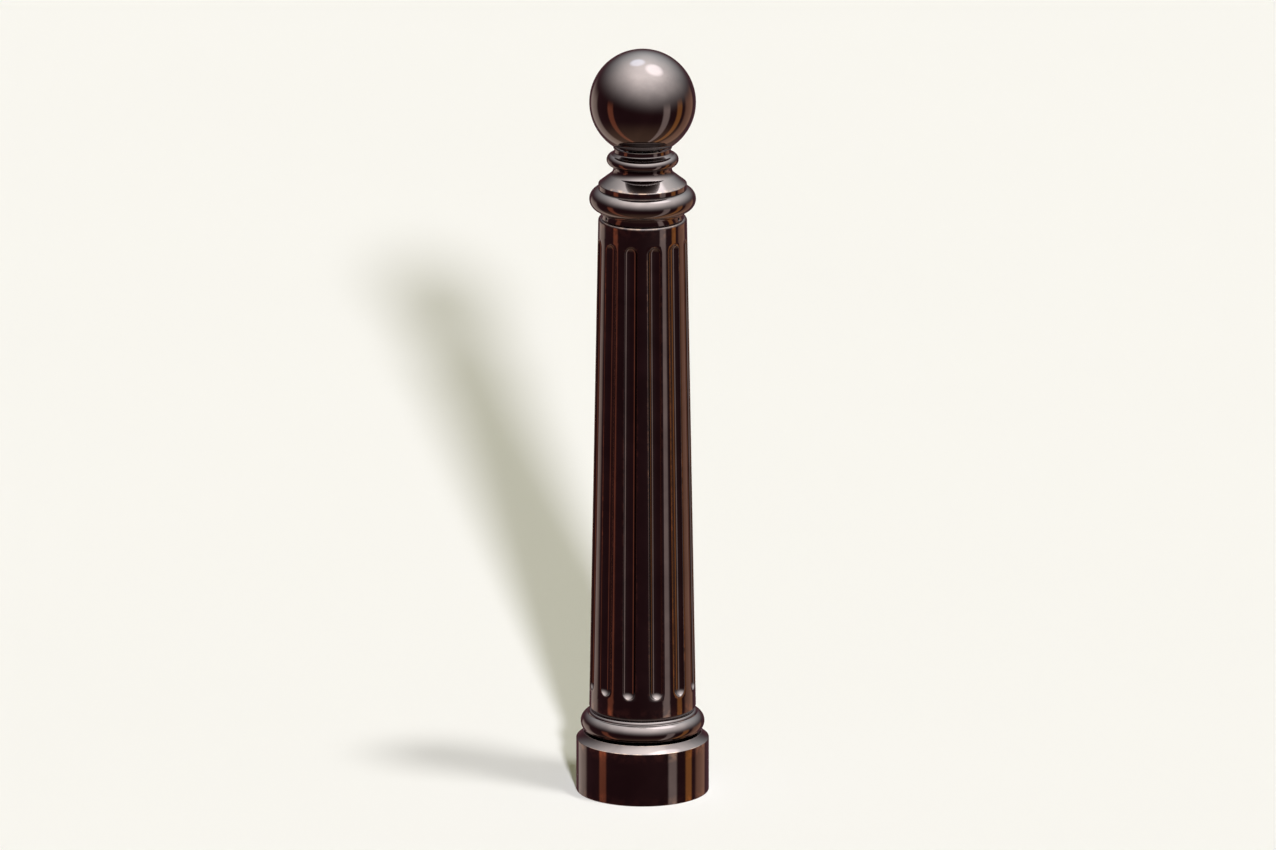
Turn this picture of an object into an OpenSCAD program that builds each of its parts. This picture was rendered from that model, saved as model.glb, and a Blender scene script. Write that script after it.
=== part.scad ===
// Ball-topped fluted safety bollard.
// A steel post on a bolted foot does the stopping. A stack of cast pieces slides down over it
// as a cover, and a tie rod under the ball clamps the stack to a nut on top of the post.
// Origin: centre of the foot, on the ground. +Z is up. All sizes are in millimetres.

/* [Plinth] */
// Outside diameter of the plinth
plinth_d = 174; // [168:1:220]
// Height of the straight wall of the plinth
plinth_wall_h = 70.5; // [64:0.5:140]
// Height of the coved shoulder above the wall
shoulder_h = 9.5; // [7:0.5:14]
// How far the shoulder comes in from the wall
shoulder_in = 9; // [6:0.5:12]
// Radius of the shoulder's cove
shoulder_cove_r = 32; // [20:1:60]
// Thickness of the plinth's wall
plinth_wall = 7; // [5:0.5:8]
// Thickness of the plinth's top deck
deck_t = 9; // [7:0.5:12]

/* [Base ring] */
// Outside diameter of the base ring
base_ring_d = 162.4; // [150:0.2:168]
// Radius of its large bead
base_bead_r = 13; // [10:0.5:16]
// Radius of the small bead under the shaft
foot_bead_r = 4.5; // [3:0.5:7]

/* [Shaft] */
// Height of the shaft between its two rings
shaft_h = 665.5; // [400:0.5:1000]
// Diameter of the shaft at its foot
shaft_foot_d = 140; // [134:1:150]
// Diameter of the shaft at its head
shaft_head_d = 115.8; // [114:0.2:130]
// Thickness of the shaft's wall at a ridge
shaft_wall = 10; // [8:0.5:10.5]
// Depth of the edge chamfer at the shaft's head
head_chamfer = 3; // [1:0.5:3]
// Depth of the edge chamfer at the shaft's foot
foot_chamfer = 2.8; // [1:0.1:3]
// Height of the thick flange inside the foot
foot_flange_h = 24; // [22:1:40]
// Thickness of the web inside the head
head_web_t = 24; // [18:1:36]
// Height of the upstand that locates the capital ring
upstand_h = 14; // [10:1:20]

/* [Flutes] */
// Number of flutes
flute_count = 12; // [6:1:14]
// Radius of the round-nosed cutter
flute_r = 10.5; // [8:0.5:11]
// Depth of a flute
flute_depth = 6; // [3:0.5:6]
// Plain band below the flutes
flute_foot_margin = 28.5; // [26:0.5:60]
// Plain band above the flutes
flute_head_margin = 26.4; // [20:0.2:60]

/* [Capital ring] */
// Outside diameter of the capital ring
capital_d = 139.2; // [130:0.2:160]
// Radius of its bead
capital_bead_r = 14.5; // [13:0.5:20]
// Diameter of the plain neck under the bead
capital_neck_d = 109; // [108:0.5:111]
// Height of that neck
capital_neck_h = 7.5; // [6.5:0.5:12]
// Height of the fillet between neck and bead
capital_fillet_h = 3; // [2:0.5:4]
// How far the fillet stands out from the neck
capital_fillet_out = 2.5; // [1:0.5:4]

/* [Neck collar] */
// Diameter of the bell's rim
rim_d = 115.6; // [104:0.2:126]
// Height of the rim's plain edge
rim_h = 6.5; // [4:0.5:10]
// Slope of the bell's skirt above the rim, in degrees
bell_slope = 33; // [26:1:40]
// Radius of the cove between the skirt and the throat
bell_cove_r = 14; // [10:1:20]
// Diameter of the bell's throat
throat_d = 76.4; // [74:0.2:82]
// Height from the rim's foot to the middle of the small bead
small_bead_up = 38.5; // [36:0.5:46]
// Outside diameter of the small bead
small_bead_d = 94; // [88:1:104]
// Radius of the small bead
small_bead_r = 7.5; // [6:0.5:10]
// Diameter of the neck above the small bead
neck_d = 74; // [68:0.2:78]
// Width and height of the flare at the neck's foot
neck_flare = 3.5; // [1:0.5:5]
// Height of the neck from the middle of the small bead to the lip
neck_h = 15.5; // [12:0.5:24]
// Height of the lip under the ball
lip_h = 2.5; // [2:0.5:5]
// How far the lip stands out from the neck
lip_out = 1.4; // [1:0.1:4]
// Thickness of the web that the tie rod passes through
neck_web_t = 8; // [6:1:10]

/* [Ball] */
// Diameter of the ball
ball_d = 139; // [120:1:170]
// Thickness of the ball's shell
ball_shell_t = 3.5; // [2:0.5:6]
// Width of the ball's rim round the boss plate
ball_rim_w = 3.765; // [3:0.005:4.5]
// Thickness of the boss plate that closes the ball
boss_plate_t = 10; // [6:1:14]
// Diameter of the boss plate
boss_plate_d = 72; // [60:1:74]
// Diameter of the boss hub
hub_d = 32; // [26:1:40]
// Height of the hub above the boss plate
hub_h = 21.5; // [16:0.5:30]
// Thickness of the seal under the ball
seal_t = 2; // [1:0.5:4]

/* [Steel post] */
// Outside diameter of the post's pipe
pipe_od = 88.9; // [76.1:0.1:88.9]
// Wall of the pipe
pipe_wall = 5.5; // [3.2:0.1:8]
// Thickness of the foot plate
foot_plate_t = 12; // [8:1:20]
// Diameter of the drain hole in the foot plate
drain_d = 40; // [20:1:60]
// Distance from the foot plate's edge to an anchor hole's centre
anchor_edge = 17; // [14:0.5:18]
// Diameter of an anchor hole
anchor_hole_d = 14; // [11:0.5:16]
// Number of anchor holes, with a gusset between each two
anchor_count = 4; // [3:1:4]
// Thickness of a gusset
gusset_t = 6; // [5:1:10]
// Height of a gusset
gusset_h = 42; // [24:1:46]
// Leg of the fillet weld at the foot
foot_weld = 6; // [3:0.5:7]
// Thickness of the head plate
head_plate_t = 10; // [6:1:16]
// Height and thickness of a centring ring
centring_h = 20; // [12:1:22]
// How far below the head plate the upper centring ring starts
upper_ring_drop = 65; // [50:5:100]

/* [Fasteners] */
// Diameter of the tie rod's thread
rod_d = 16; // [12:1:16]
// Width across the flats of the tie rod's nuts
rod_nut_af = 24; // [21:1:27]
// Height of a full nut
rod_nut_h = 14.8; // [12:0.1:16]
// Height of a thin nut
thin_nut_h = 8; // [6:0.5:9]
// Height of the lock nut under the boss
lock_nut_h = 13; // [8:0.5:14]
// Thread engagement of the rod in the head nut
rod_engaged = 16; // [12:1:18]
// Diameter of a foot screw
foot_screw_d = 8; // [6:1:8]
// Length of a foot screw under its head
foot_screw_l = 60; // [56:1:62]
// Number of foot screws
foot_screw_count = 4; // [3:1:6]
// Diameter of a collar screw
collar_screw_d = 6; // [5:1:6]
// Thread engagement of a collar screw in the neck collar
collar_engaged = 8; // [6:0.5:9]
// Diameter of a grub screw
grub_d = 5; // [4:1:5]
// Diameter of a ring screw
ring_screw_d = 4; // [3:0.5:4]
// Thread engagement of a ring screw in the pipe
ring_screw_grip = 4; // [2:0.5:5]
// Number of collar screws, and of grub screws
head_screw_count = 3; // [3:1:4]

/* [Clearances] */
// Radial gap of the rod in the nut it turns in
thread_gap = 0.1; // [0.05:0.05:0.3]
// Radial gap of a spigot in its socket
spigot_gap = 0.2; // [0.1:0.05:0.3]
// Radial gap of a screw in a plain hole
screw_gap = 0.5; // [0.3:0.1:0.8]
// Radial gap where the cover slides down the post
lift_gap = 0.4; // [0.3:0.1:1]
// Radial gap between the foot plate and the plinth
plate_gap = 2; // [1:0.5:4]
// Radial gap of the upper centring ring in the shaft
guide_gap = 0.8; // [0.5:0.1:1.5]
// Gap left at the end of a travel
end_gap = 0.3; // [0.2:0.1:0.5]

/* [Hidden] */
$fn = 96;
cut = 0.5;                                  // how far a cutter runs past the face it cuts
quarter = 90;

// Levels of the cover's seats, from the ground up
plinth_top = plinth_wall_h + shoulder_h;
shaft_z = plinth_top + 2 * base_bead_r + foot_bead_r;
shaft_top = shaft_z + shaft_h;
bead_z = shaft_top + capital_neck_h + capital_fillet_h + capital_bead_r - 0.5;
capital_top = bead_z + capital_bead_r;
small_bead_z = capital_top + small_bead_up;
collar_top = small_bead_z + neck_h + lip_h;
ball_foot = collar_top + seal_t;
ball_z = ball_foot + sqrt(pow(ball_d / 2, 2) - pow(boss_plate_d / 2 + ball_rim_w, 2));

// Radii
foot_r = shaft_foot_d / 2;
head_r = shaft_head_d / 2;
pipe_r = pipe_od / 2;
head_gap = 7;                                // from the head plate to the shaft's web
head_plate_z = shaft_top - head_web_t - head_gap - head_plate_t;
upper_ring_z = head_plate_z - upper_ring_drop;
centring_r = shaft_r(upper_ring_z + centring_h) - shaft_wall - guide_gap;
lift_bore_r = centring_r + lift_gap;         // every bore that slides down over the post
ring_screw_l = centring_r - end_gap - pipe_r + ring_screw_grip;
skirt_r = plinth_d / 2 - plinth_wall;
foot_plate_r = skirt_r - plate_gap;
anchor_r = foot_plate_r - anchor_edge;
foot_screw_r = (lift_bore_r + foot_r - foot_chamfer) / 2;
web_bore_r = 36;                             // hole through the shaft's head web and the capital ring
upstand_r = capital_neck_d / 2 - 5.5;
collar_spigot_h = 16;
collar_bore_r = web_bore_r - 8;
collar_screw_r = (web_bore_r + upstand_r) / 2 + 1.5;
neck_bore_r = 18;
rod_r = rod_d / 2;

// Levels of the post
head_nut_z = head_plate_z + head_plate_t;
rod_foot = head_nut_z + rod_nut_h - rod_engaged;
neck_web_z = small_bead_z - small_bead_r - neck_web_t;
stop_nut_top = neck_web_z - rod_engaged - end_gap;
rod_top = ball_foot + boss_plate_t + hub_h - 5;
lay_gap = 0.05;                              // air between two round faces that lie on each other
head_weld = 2.4;
lower_ring_z = shaft_z + 2;
washer_t = 1.6;

// Taper of the shaft
taper = atan((foot_r - head_r) / shaft_h);
function shaft_r(z) = foot_r - (z - shaft_z) * (foot_r - head_r) / shaft_h;

// A hexagonal nut or screw socket, measured across its flats
module hex(af, h) {
    cylinder(r = af / 2 / cos(30), h = h, $fn = 6);
}

// Places copies round the axis, at a radius
module around(count, radius, first = 0) {
    for (i = [0 : count - 1]) {
        rotate([0, 0, first + i * 360 / count]) translate([radius, 0, 0]) children();
    }
}

// A nut with both faces chamfered to the flats
module nut(af, h, bore_r) {
    corner = af / 2 / cos(30);
    edge = (corner - af / 2) * 0.6;
    difference() {
        intersection() {
            hex(af, h);
            rotate_extrude() polygon([[0, 0], [corner - edge, 0], [corner, edge], [corner, h - edge],
                [corner - edge, h], [0, h]]);
        }
        translate([0, 0, -cut]) cylinder(r = bore_r, h = h + 2 * cut);
    }
}

// The post: foot plate, pipe, gussets and welds
module foot_plate() {
    color("lightslategray") difference() {
        cylinder(r = foot_plate_r, h = foot_plate_t);
        translate([0, 0, -cut]) cylinder(r = drain_d / 2, h = foot_plate_t + 2 * cut);
        around(anchor_count, anchor_r, 180 / anchor_count)
            translate([0, 0, -cut]) cylinder(r = anchor_hole_d / 2, h = foot_plate_t + 2 * cut);
    }
}

module core_pipe() {
    color("silver") difference() {
        translate([0, 0, foot_plate_t]) cylinder(r = pipe_r, h = head_plate_z - foot_plate_t);
        translate([0, 0, foot_plate_t - cut]) cylinder(r = pipe_r - pipe_wall,
            h = head_plate_z - foot_plate_t + 2 * cut);
        for (z = [lower_ring_z, upper_ring_z]) {
            around(3, pipe_r, 60) translate([0, 0, z + centring_h / 2]) rotate([0, quarter, 0])
                cylinder(r = ring_screw_d / 2, h = 3 * pipe_wall, center = true);
        }
    }
}

module gussets() {
    reach = foot_plate_r - 6 - pipe_r;
    toe = 5;
    color("silver") for (i = [0 : anchor_count - 1]) {
        rotate([0, 0, i * 360 / anchor_count]) translate([pipe_r, gusset_t / 2, foot_plate_t])
            rotate([quarter, 0, 0]) linear_extrude(gusset_t)
                difference() {
                    polygon([[-1, 0], [reach, 0], [reach, toe], [toe, gusset_h], [-1, gusset_h]]);
                    translate([-pipe_r, -cut]) square([pipe_r + 0.2, gusset_h + 2 * cut]);
                    circle(r = foot_weld + 1);
                }
    }
}

module weld_beads() {
    gap_angle = asin((gusset_t / 2 + 1) / pipe_r);
    span = 360 / anchor_count - 2 * gap_angle;
    color("dimgray") {
        for (i = [0 : anchor_count - 1]) {
            rotate([0, 0, i * 360 / anchor_count + gap_angle]) rotate_extrude(angle = span)
                translate([pipe_r + lay_gap, foot_plate_t])
                    polygon([[0, 0], [foot_weld, 0], [0, foot_weld]]);
        }
        rotate_extrude() translate([pipe_r - head_weld + lay_gap, head_plate_z])
            polygon([[0, 0], [head_weld - lay_gap, 0], [0, head_weld]]);
        around(3, rod_nut_af / 2, 30) translate([0, 0, head_nut_z]) rotate([quarter, 0, 0])
            linear_extrude(8, center = true) polygon([[0, 0], [3, 0], [0, 3]]);
    }
}

module head_plate() {
    color("lightslategray") difference() {
        translate([0, 0, head_plate_z]) cylinder(r = pipe_r - head_weld, h = head_plate_t);
        translate([0, 0, head_plate_z - cut]) cylinder(r = rod_r + screw_gap, h = head_plate_t + 2 * cut);
    }
}

module head_nut() {
    color("gainsboro") translate([0, 0, head_nut_z])
        nut(rod_nut_af, rod_nut_h, rod_r + thread_gap);
}

// A centring ring and its three countersunk screws
module centring_ring(z) {
    difference() {
        translate([0, 0, z]) cylinder(r = centring_r, h = centring_h);
        translate([0, 0, z - cut]) cylinder(r = pipe_r + spigot_gap, h = centring_h + 2 * cut);
        around(3, 0, 60) translate([0, 0, z + centring_h / 2]) rotate([0, quarter, 0]) {
            cylinder(r = ring_screw_d / 2, h = centring_r + cut);
            translate([0, 0, centring_r - end_gap - ring_screw_d / 2])
                cylinder(r1 = ring_screw_d / 2, r2 = ring_screw_d, h = ring_screw_d / 2);
            translate([0, 0, centring_r - end_gap]) cylinder(r = ring_screw_d, h = 2);
        }
    }
}

module lower_centring_ring() {
    color("darkslategray") centring_ring(lower_ring_z);
}

module upper_centring_ring() {
    color("darkslategray") centring_ring(upper_ring_z);
}

module ring_screws() {
    head_top = centring_r - end_gap;
    head_h = ring_screw_d / 2;
    color("gainsboro") for (z = [lower_ring_z, upper_ring_z]) {
        around(3, 0, 60) translate([0, 0, z + centring_h / 2]) rotate([0, quarter, 0])
            difference() {
                union() {
                    translate([0, 0, head_top - ring_screw_l]) cylinder(r = ring_screw_d / 2, h = ring_screw_l);
                    translate([0, 0, head_top - head_h])
                        cylinder(r1 = ring_screw_d / 2, r2 = ring_screw_d, h = head_h);
                }
                translate([0, 0, head_top - 1.5]) hex(ring_screw_d * 0.6, 2);
            }
    }
}

// The plinth: a skirt, a coved shoulder and a deck
module plinth() {
    edge_r = plinth_d / 2;
    top_r = edge_r - shoulder_in;
    // The cove's centre lies off the shoulder's chord, on its outer side
    chord = sqrt(pow(shoulder_in, 2) + pow(shoulder_h, 2));
    off = sqrt(pow(shoulder_cove_r, 2) - pow(chord / 2, 2));
    cove_x = (edge_r + top_r) / 2 + off * shoulder_h / chord;
    cove_z = (plinth_wall_h + plinth_top) / 2 + off * shoulder_in / chord;
    color("saddlebrown") difference() {
        rotate_extrude() difference() {
            polygon([[lift_bore_r, plinth_top - deck_t], [skirt_r, plinth_top - deck_t], [skirt_r, 0],
                [edge_r, 0], [edge_r, plinth_wall_h], [top_r, plinth_top], [lift_bore_r, plinth_top]]);
            intersection() {
                translate([cove_x, cove_z]) circle(r = shoulder_cove_r);
                polygon([[edge_r + cut, plinth_wall_h], [edge_r + cut, plinth_top + cut],
                    [top_r, plinth_top + cut], [top_r, plinth_top - 2], [edge_r - 2, plinth_wall_h]]);
            }
        }
        around(foot_screw_count, foot_screw_r) translate([0, 0, plinth_top - deck_t - cut])
            cylinder(r = foot_screw_d / 2 + screw_gap, h = deck_t + 2 * cut);
    }
}

// The base ring: a large bead with a small one on top
module base_ring() {
    bead_in = base_ring_d / 2 - base_bead_r;
    foot_bead_in = foot_r - 2.6;
    ring_h = shaft_z - plinth_top;
    color("sienna") difference() {
        rotate_extrude() {
            translate([bead_in, plinth_top + base_bead_r]) circle(r = base_bead_r);
            translate([foot_bead_in, shaft_z - foot_bead_r - 0.5]) circle(r = foot_bead_r);
            translate([lift_bore_r, plinth_top]) square([bead_in - lift_bore_r, 2 * base_bead_r]);
            translate([lift_bore_r, plinth_top]) square([foot_bead_in - lift_bore_r, ring_h]);
        }
        around(foot_screw_count, foot_screw_r) translate([0, 0, plinth_top - cut])
            cylinder(r = foot_screw_d / 2 + screw_gap, h = ring_h + 2 * cut);
    }
}

// The shaft: a tapered casting with round-nosed flutes
module shaft_blank() {
    web_z = shaft_top - head_web_t;
    flange_z = shaft_z + foot_flange_h;
    color("saddlebrown") rotate_extrude() polygon([
        [lift_bore_r, shaft_z],
        [foot_r - foot_chamfer, shaft_z],
        [shaft_r(shaft_z + 1.5 * foot_chamfer), shaft_z + 1.5 * foot_chamfer],
        [shaft_r(shaft_top - head_chamfer), shaft_top - head_chamfer],
        [head_r - head_chamfer, shaft_top],
        [upstand_r, shaft_top],
        [upstand_r, shaft_top + upstand_h],
        [web_bore_r, shaft_top + upstand_h],
        [web_bore_r, web_z],
        [shaft_r(web_z) - shaft_wall, web_z],
        [shaft_r(flange_z) - shaft_wall, flange_z],
        [lift_bore_r, flange_z]
    ]);
}

module flute_cutter() {
    stand_off = flute_r - flute_depth;
    mouth = sqrt(pow(flute_r, 2) - pow(stand_off, 2));
    low = shaft_z + flute_foot_margin + mouth;
    high = shaft_top - flute_head_margin - mouth;
    run = (high - low) / cos(taper);
    translate([shaft_r(low) + stand_off / cos(taper), 0, low]) rotate([0, -taper, 0]) {
        cylinder(r = flute_r, h = run);
        sphere(r = flute_r);
        translate([0, 0, run]) sphere(r = flute_r);
    }
}

module fluted_shaft() {
    color("saddlebrown") difference() {
        shaft_blank();
        for (i = [0 : flute_count - 1]) {
            rotate([0, 0, (i + 0.5) * 360 / flute_count]) flute_cutter();
        }
        around(foot_screw_count, foot_screw_r) translate([0, 0, shaft_z - cut])
            cylinder(r = foot_screw_d / 2 + thread_gap, h = foot_flange_h - 3 + cut);
    }
}

// The capital ring: a bead on a plain neck, socketed over the shaft's upstand
module capital_ring() {
    neck_r = capital_neck_d / 2;
    bead_in = capital_d / 2 - capital_bead_r;
    socket_h = upstand_h + end_gap;
    fillet_z = shaft_top + capital_neck_h;
    color("sienna") difference() {
        rotate_extrude() difference() {
            union() {
                translate([web_bore_r, shaft_top]) square([neck_r - web_bore_r, capital_top - shaft_top]);
                translate([web_bore_r, fillet_z])
                    square([neck_r + capital_fillet_out - web_bore_r, capital_fillet_h]);
                translate([bead_in, bead_z]) circle(r = capital_bead_r);
            }
            translate([0, shaft_top - cut]) square([upstand_r + spigot_gap, socket_h + cut]);
        }
        around(head_screw_count, neck_r, quarter) translate([0, 0, shaft_top + capital_neck_h / 2])
            rotate([0, quarter, 0]) cylinder(r = grub_d / 2 + thread_gap, h = 16, center = true);
        around(head_screw_count, collar_screw_r, 30) translate([0, 0, shaft_top + socket_h - cut]) {
            cylinder(r = collar_screw_d / 2 + screw_gap, h = capital_top);
            cylinder(r1 = collar_screw_d + screw_gap + cut, r2 = collar_screw_d / 2 + screw_gap,
                h = collar_screw_d / 2 + cut);
        }
    }
}

// The neck collar: rim, bell, small bead, neck and lip in one turned casting
module neck_collar() {
    rim_r = rim_d / 2;
    throat_r = throat_d / 2;
    neck_r = neck_d / 2;
    bead_in = small_bead_d / 2 - small_bead_r;
    cove_x = throat_r + bell_cove_r;
    rim_z = capital_top + rim_h;
    cove_z = rim_z + (bell_cove_r - (cove_x - rim_r) * sin(bell_slope)) / cos(bell_slope);
    flare_r = neck_r + neck_flare;
    flare_z = small_bead_z + sqrt(pow(small_bead_r, 2) - pow(flare_r - bead_in, 2));
    lip_z = collar_top - lip_h;
    web_top = neck_web_z + neck_web_t;
    color("sienna") difference() {
        rotate_extrude() difference() {
            union() {
                difference() {
                    translate([0, capital_top]) square([rim_r, small_bead_z - capital_top]);
                    translate([cove_x, cove_z]) circle(r = bell_cove_r);
                    polygon([
                        [cove_x, cove_z],
                        [cove_x - bell_cove_r * sin(bell_slope), cove_z - bell_cove_r * cos(bell_slope)],
                        [rim_r, rim_z],
                        [2 * rim_r, rim_z],
                        [2 * rim_r, small_bead_z],
                        [bead_in, small_bead_z]
                    ]);
                }
                translate([bead_in, small_bead_z]) circle(r = small_bead_r);
                translate([0, small_bead_z - small_bead_r]) square([bead_in, 2 * small_bead_r - 1]);
                translate([0, small_bead_z]) square([neck_r, collar_top - small_bead_z]);
                translate([0, flare_z])
                    polygon([[0, 0], [flare_r, 0], [neck_r, neck_flare], [0, neck_flare]]);
                translate([0, lip_z]) square([neck_r + lip_out - lip_h / 2, lip_h]);
                translate([neck_r + lip_out - lip_h / 2, lip_z + lip_h / 2]) circle(r = lip_h / 2);
                translate([0, capital_top - collar_spigot_h])
                    square([web_bore_r - spigot_gap, collar_spigot_h + cut]);
            }
            translate([0, capital_top - collar_spigot_h - cut])
                square([collar_bore_r, neck_web_z - capital_top + collar_spigot_h + cut]);
            translate([0, web_top]) square([neck_bore_r, collar_top - web_top + cut]);
            translate([0, neck_web_z - cut]) square([rod_r + 1, neck_web_t + 2 * cut]);
        }
        around(head_screw_count, collar_screw_r, 30) translate([0, 0, capital_top - cut])
            cylinder(r = collar_screw_d / 2 + thread_gap, h = collar_engaged + 1 + cut);
    }
}

// Socket-head screws up through the deck and the base ring into the shaft's flange
module foot_screws() {
    head_h = foot_screw_d;
    seat = plinth_top - deck_t - washer_t;
    color("gainsboro") around(foot_screw_count, foot_screw_r) translate([0, 0, seat]) difference() {
        union() {
            cylinder(r = foot_screw_d / 2, h = foot_screw_l);
            translate([0, 0, -head_h]) cylinder(r = foot_screw_d * 0.8, h = head_h);
        }
        translate([0, 0, -head_h - cut]) hex(foot_screw_d * 0.75, head_h / 2 + cut);
    }
}

module foot_washers() {
    color("gainsboro") around(foot_screw_count, foot_screw_r)
        translate([0, 0, plinth_top - deck_t - washer_t]) difference() {
            cylinder(r = foot_screw_d, h = washer_t);
            translate([0, 0, -cut]) cylinder(r = foot_screw_d / 2 + 0.2, h = washer_t + 2 * cut);
        }
}

// Countersunk screws up through the capital ring into the neck collar
module collar_screws() {
    seat = shaft_top + upstand_h + end_gap;
    head_h = collar_screw_d / 2;
    color("gainsboro") around(head_screw_count, collar_screw_r, 30) translate([0, 0, seat + 0.2]) difference() {
        union() {
            cylinder(r = collar_screw_d / 2, h = capital_top + collar_engaged - seat);
            cylinder(r1 = collar_screw_d, r2 = collar_screw_d / 2, h = head_h);
        }
        translate([0, 0, -cut]) hex(collar_screw_d * 0.66, 2 + cut);
    }
}

// Grub screws in the shaded neck, which hold the capital ring to the upstand
module grub_screws() {
    grub_l = capital_neck_d / 2 - upstand_r - 1;
    color("dimgray") around(head_screw_count, upstand_r, quarter)
        translate([0, 0, shaft_top + capital_neck_h / 2]) rotate([0, quarter, 0]) difference() {
            cylinder(r = grub_d / 2, h = grub_l);
            translate([0, 0, grub_l - 2]) hex(grub_d / 2, 2 + cut);
        }
}

// The ball on its tie rod
module finial_seal() {
    color("black") translate([0, 0, collar_top]) difference() {
        cylinder(r = boss_plate_d / 2 - 1, h = seal_t);
        translate([0, 0, -cut]) cylinder(r = neck_bore_r, h = seal_t + 2 * cut);
    }
}

module ball_shell() {
    color("saddlebrown") difference() {
        translate([0, 0, ball_z]) sphere(r = ball_d / 2);
        translate([0, 0, ball_z]) sphere(r = ball_d / 2 - ball_shell_t);
        translate([0, 0, ball_foot - ball_d]) cylinder(r = ball_d, h = ball_d);
        translate([0, 0, ball_foot - cut]) cylinder(r = boss_plate_d / 2, h = boss_plate_t);
    }
}

module ball_boss() {
    color("gray") translate([0, 0, ball_foot]) difference() {
        union() {
            cylinder(r = boss_plate_d / 2, h = boss_plate_t);
            cylinder(r = hub_d / 2, h = boss_plate_t + hub_h);
        }
        translate([0, 0, -cut]) cylinder(r = rod_r + thread_gap, h = rod_top - ball_foot + cut + end_gap);
    }
}

module tie_rod() {
    edge = 1.5;
    color("gainsboro") rotate_extrude() polygon([[0, rod_foot], [rod_r - edge, rod_foot],
        [rod_r, rod_foot + edge], [rod_r, rod_top - edge], [rod_r - edge, rod_top], [0, rod_top]]);
}

module lock_nut() {
    color("gainsboro") translate([0, 0, ball_foot - lock_nut_h])
        nut(rod_nut_af, lock_nut_h, rod_r + thread_gap);
}

module stop_nuts() {
    color("gainsboro") for (i = [1, 2]) {
        translate([0, 0, stop_nut_top - i * thin_nut_h - (i - 1) * lay_gap])
            nut(rod_nut_af, thin_nut_h, rod_r + thread_gap);
    }
}

foot_plate();
core_pipe();
gussets();
weld_beads();
head_plate();
head_nut();
lower_centring_ring();
upper_centring_ring();
ring_screws();
plinth();
base_ring();
fluted_shaft();
capital_ring();
neck_collar();
foot_screws();
foot_washers();
collar_screws();
grub_screws();
finial_seal();
ball_shell();
ball_boss();
tie_rod();
lock_nut();
stop_nuts();
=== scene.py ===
import math

import bmesh
import bpy
from mathutils import Matrix, Vector


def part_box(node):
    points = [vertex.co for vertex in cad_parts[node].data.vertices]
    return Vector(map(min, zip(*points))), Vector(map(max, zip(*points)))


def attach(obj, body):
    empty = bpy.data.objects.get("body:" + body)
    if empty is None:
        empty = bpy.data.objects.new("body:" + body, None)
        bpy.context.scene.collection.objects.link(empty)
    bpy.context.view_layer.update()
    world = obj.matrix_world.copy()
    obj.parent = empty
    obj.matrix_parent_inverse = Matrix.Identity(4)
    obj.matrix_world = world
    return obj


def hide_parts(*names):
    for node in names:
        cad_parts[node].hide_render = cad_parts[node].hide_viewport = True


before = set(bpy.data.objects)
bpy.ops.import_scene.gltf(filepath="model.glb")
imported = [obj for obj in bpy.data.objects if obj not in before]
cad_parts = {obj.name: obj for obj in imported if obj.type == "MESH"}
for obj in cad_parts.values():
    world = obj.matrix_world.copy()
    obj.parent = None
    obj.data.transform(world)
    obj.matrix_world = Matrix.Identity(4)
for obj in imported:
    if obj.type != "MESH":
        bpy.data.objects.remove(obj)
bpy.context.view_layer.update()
mm = 0.001
fullTurn = 2 * math.pi
weld = 0.002 * mm  # points nearer than this are one
print("stage: frame loaded,", len(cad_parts), "nodes")


# Sizes taken from the frame, in millimetres

def top(node):
    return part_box(node)[1][2] / mm


def foot(node):
    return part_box(node)[0][2] / mm


def halfWidth(node):
    low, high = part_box(node)
    return max(high[0], high[1], -low[0], -low[1]) / mm


# Outlines: lists of (radius, height, wear) in millimetres, wear being 1 on edges that get rubbed

def arc(centreR, centreZ, radius, first, last, steps, wear=0.0):
    angles = [math.radians(first + (last - first) * i / steps) for i in range(steps + 1)]
    return [(centreR + radius * math.cos(a), centreZ + radius * math.sin(a), wear) for a in angles]


def roundOff(corners, steps=4):  # corners are (radius, height) or (radius, height, fillet, wear)
    outline = []
    for i, corner in enumerate(corners):
        fillet = corner[2] if len(corner) > 2 else 0.0
        wear = corner[3] if len(corner) > 3 else 0.0
        here = Vector(corner[:2])
        if fillet <= 0:
            outline.append((here.x, here.y, wear))
            continue
        before = (Vector(corners[i - 1][:2]) - here).normalized()
        after = (Vector(corners[(i + 1) % len(corners)][:2]) - here).normalized()
        half = before.angle(after) / 2
        reach = fillet / math.tan(half)
        centre = here + (before + after).normalized() * (fillet / math.sin(half))
        start = here + before * reach - centre
        end = here + after * reach - centre
        sweep = start.angle_signed(end)
        for k in range(steps + 1):
            spot = centre + Matrix.Rotation(-sweep * k / steps, 2) @ start
            outline.append((spot.x, spot.y, wear))
    return outline


# Meshes

def finished(mesh, name, body, node, material):
    piece = bpy.data.objects.new(name, mesh)
    bpy.context.scene.collection.objects.link(piece)
    piece.data.materials.append(material)
    piece.data.shade_smooth()
    facing = piece.modifiers.new("facing", "WEIGHTED_NORMAL")
    facing.keep_sharp = True
    facing.weight = 80
    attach(piece, body)
    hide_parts(node)
    return piece


def meshFrom(bm, name):
    bmesh.ops.remove_doubles(bm, verts=bm.verts, dist=weld)
    bmesh.ops.dissolve_degenerate(bm, edges=bm.edges, dist=weld / 2)
    bmesh.ops.recalc_face_normals(bm, faces=bm.faces)
    mesh = bpy.data.meshes.new(name)
    bm.to_mesh(mesh)
    bm.free()
    return mesh


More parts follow.
